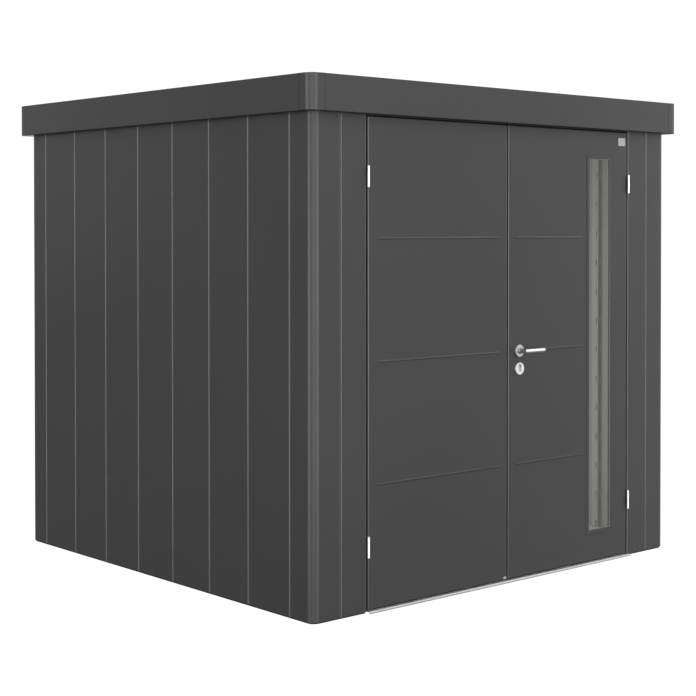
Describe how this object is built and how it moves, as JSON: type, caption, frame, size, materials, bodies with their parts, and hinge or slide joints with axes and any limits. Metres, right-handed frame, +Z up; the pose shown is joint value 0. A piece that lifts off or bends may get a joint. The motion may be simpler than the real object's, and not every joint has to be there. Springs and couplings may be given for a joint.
{
  "type": "metal tool shed",
  "caption": "Flat-roofed square shed of folded dark sheet metal with double doors, a tall narrow window strip, a lever lock and an aluminium sill.",
  "frame": {"origin": "centre of the shed's base on the ground", "axes": "+X to the right seen from the door front, +Y from the door front to the back, +Z up"},
  "size_m": [2.36, 2.3695, 2.22],
  "materials": {
    "coated_sheet": "satin",
    "zinc_steel": "satin",
    "light_uprights": "satin",
    "bare_aluminium": "satin",
    "stainless": "satin",
    "cylinder_brass": "satin",
    "clear_pane": "gloss",
    "badge": "satin"
  },
  "bodies": {
    "shell": {"base_rails": "coated_sheet", "door_sill": "bare_aluminium", "floor_joists": "bare_aluminium", "floor_panel_left": "bare_aluminium", "floor_panel_right": "bare_aluminium", "corner_front_left": "coated_sheet", "corner_front_right": "coated_sheet", "corner_back_left": "coated_sheet", "corner_back_right": "coated_sheet", "left_wall": "coated_sheet", "right_wall": "coated_sheet", "back_wall": "coated_sheet", "front_panel_left": "coated_sheet", "front_panel_right": "coated_sheet", "door_head": "coated_sheet", "wall_plates": "zinc_steel", "uprights_left": "light_uprights", "uprights_right": "light_uprights", "uprights_back": "light_uprights", "fascia_front": "coated_sheet", "fascia_back": "coated_sheet", "fascia_left": "coated_sheet", "fascia_right": "coated_sheet", "fascia_corners": "coated_sheet", "roof_deck_left": "zinc_steel", "roof_deck_right": "zinc_steel", "roof_beams": "zinc_steel", "rear_gutter": "zinc_steel", "frame_hinges": "stainless"},
    "left_leaf": {"left_leaf_skin": "coated_sheet", "left_leaf_stiffeners": "zinc_steel", "left_leaf_bolts": "stainless", "bolt_guides": "stainless", "foot_plate": "stainless", "left_leaf_hinges": "stainless"},
    "right_leaf": {"right_leaf_skin": "coated_sheet", "right_leaf_stiffeners": "zinc_steel", "window_frame": "coated_sheet", "window_pane": "clear_pane", "window_retainer": "coated_sheet", "lock_case": "zinc_steel", "lock_cover": "zinc_steel", "lock_roses": "stainless", "lock_cylinder": "cylinder_brass", "badge_plate": "badge", "right_leaf_hinges": "stainless"},
    "lever": {"lever_outer": "stainless", "lever_inner": "stainless", "lever_spindle": "stainless"}
  },
  "joints": [
    {"name": "left_door", "type": "hinge", "parent": "shell", "child": "left_leaf", "pos_m": [-0.8425, -1.144, 1], "axis": [0, 0, -1], "range_deg": [0, 110]},
    {"name": "right_door", "type": "hinge", "parent": "shell", "child": "right_leaf", "pos_m": [0.8425, -1.144, 1], "axis": [0, 0, 1], "range_deg": [0, 110]},
    {"name": "lever_turn", "type": "hinge", "parent": "right_leaf", "child": "lever", "pos_m": [0.073, -1.135, 1.043], "axis": [0, 1, 0], "range_deg": [0, 40], "stiffness_Nm_per_rad": 2, "springref_deg": -22.92}
  ]
}
